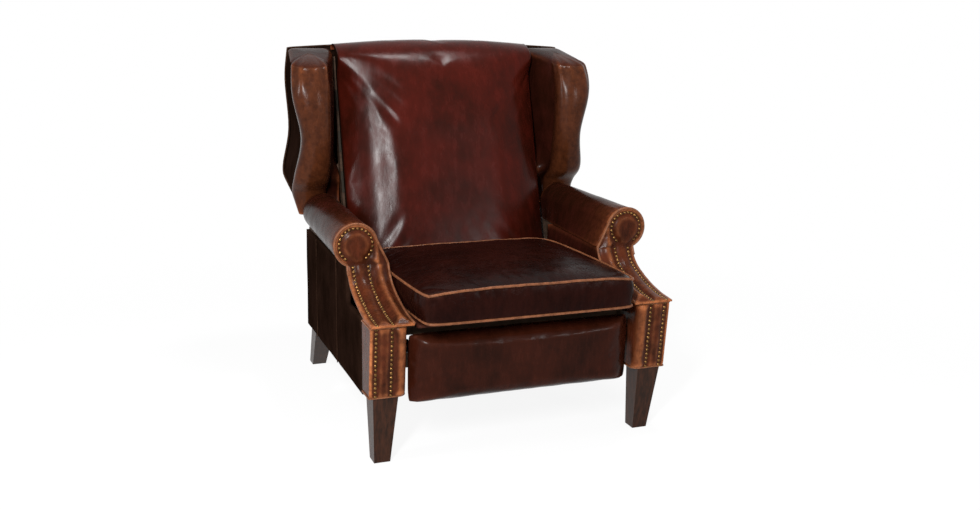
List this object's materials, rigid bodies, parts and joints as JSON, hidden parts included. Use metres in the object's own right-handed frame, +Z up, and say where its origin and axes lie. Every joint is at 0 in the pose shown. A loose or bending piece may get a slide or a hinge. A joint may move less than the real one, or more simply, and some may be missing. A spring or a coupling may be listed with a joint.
{
  "type": "wingback recliner",
  "caption": "High-leg wingback armchair in rubbed leather with nailhead trim, whose back reclines and swings out a padded footrest.",
  "frame": {"origin": "middle of the bounding box's underside: centred between the arms, half way from the cushion's front to the rear feet, on the floor", "axes": "+Z up, -Y is where the chair faces, +X is the sitter's left"},
  "size_m": [0.9446, 0.94, 1.0188],
  "materials": {
    "oxblood_leather": "hand-rubbed gloss, deep oxblood",
    "seat_leather": "hand-rubbed gloss, near black brown",
    "footrest_leather": "hand-rubbed gloss, dark red brown",
    "tan_leather": "rubbed through to tan, glossy",
    "dark_leather": "semi-gloss, very dark brown",
    "leg_wood": "espresso stain, satin lacquer",
    "frame_wood": "raw planed hardwood and plywood",
    "black_steel": "black enamel, satin",
    "zinc_steel": "zinc plated",
    "aged_brass": "antiqued brass domes",
    "webbing": "woven elastic",
    "deck_cloth": "black twill over felt"
  },
  "bodies": {
    "base": {"front_left_leg": "leg_wood", "front_right_leg": "leg_wood", "rear_left_leg": "leg_wood", "rear_right_leg": "leg_wood", "left_side_frame": "frame_wood", "right_side_frame": "frame_wood", "left_outside_cover": "dark_leather", "right_outside_cover": "dark_leather", "left_post_cover": "tan_leather", "right_post_cover": "tan_leather", "left_inner_arm_pad": "dark_leather", "right_inner_arm_pad": "dark_leather", "left_arm_roll": "tan_leather", "right_arm_roll": "tan_leather", "left_arm_facing": "tan_leather", "right_arm_facing": "tan_leather", "nailheads": "aged_brass", "base_cross_rail": "frame_wood", "base_rear_panel": "dark_leather", "left_base_plate": "black_steel", "right_base_plate": "black_steel", "base_screws": "zinc_steel", "base_pivot_pins": "zinc_steel"},
    "back": {"left_back_bracket": "black_steel", "right_back_bracket": "black_steel", "left_back_stile": "frame_wood", "right_back_stile": "frame_wood", "back_low_rail": "frame_wood", "back_wing_rail": "frame_wood", "back_top_rail": "frame_wood", "back_bracket_screws": "zinc_steel", "back_webbing": "webbing", "back_pad": "oxblood_leather", "left_wing_board": "frame_wood", "right_wing_board": "frame_wood", "left_wing_pad": "tan_leather", "right_wing_pad": "tan_leather", "back_outer_cover": "dark_leather"},
    "front_hanger": {"front_hangers": "black_steel"},
    "seat": {"left_seat_rail": "frame_wood", "right_seat_rail": "frame_wood", "front_seat_rail": "frame_wood", "rear_seat_rail": "frame_wood", "seat_springs": "zinc_steel", "seat_deck": "deck_cloth", "seat_cushion": "seat_leather", "left_seat_plate": "black_steel", "right_seat_plate": "black_steel", "seat_pins_and_screws": "zinc_steel"},
    "rear_links": {"left_rear_footrest_link": "black_steel", "right_rear_footrest_link": "black_steel", "footrest_torque_tube": "black_steel", "knee_pins": "zinc_steel"},
    "front_links": {"left_front_footrest_link": "black_steel", "right_front_footrest_link": "black_steel"},
    "footrest": {"footrest_pad": "footrest_leather", "footrest_board": "frame_wood", "left_footrest_bracket": "black_steel", "right_footrest_bracket": "black_steel", "footrest_pins_and_screws": "zinc_steel"}
  },
  "joints": [
    {"name": "back_recline", "type": "hinge", "parent": "base", "child": "back", "pos_m": [0, 0.18, 0.36], "axis": [-1, 0, 0], "range_deg": [0, 28]},
    {"name": "front_hanger_swing", "type": "hinge", "parent": "base", "child": "front_hanger", "pos_m": [0, -0.12, 0.372], "axis": [-1, 0, 0], "range_deg": [0, 28.5]},
    {"name": "seat_level", "type": "hinge", "parent": "back", "child": "seat", "pos_m": [0, 0.20661, 0.25327], "axis": [-1, 0, 0], "range_deg": [-28.5, 0]},
    {"name": "rear_link_swing", "type": "hinge", "parent": "seat", "child": "rear_links", "pos_m": [0, -0.29, 0.305], "axis": [-1, 0, 0], "range_deg": [0, 120]},
    {"name": "knee_fold", "type": "hinge", "parent": "rear_links", "child": "front_links", "pos_m": [0, -0.22238, 0.15999], "axis": [-1, 0, 0], "range_deg": [-157.69, 0]},
    {"name": "footrest_tilt", "type": "hinge", "parent": "front_links", "child": "footrest", "pos_m": [0, -0.3254, 0.29522], "axis": [-1, 0, 0], "range_deg": [0, 126.69]}
  ],
  "couplings": [
    {"joint": "front_hanger_swing", "follows": "back_recline", "ratio": 1},
    {"joint": "seat_level", "follows": "back_recline", "ratio": -1},
    {"joint": "rear_link_swing", "follows": "back_recline", "ratio": 4.25},
    {"joint": "knee_fold", "follows": "back_recline", "ratio": -5.596},
    {"joint": "footrest_tilt", "follows": "back_recline", "ratio": 4.489}
  ]
}
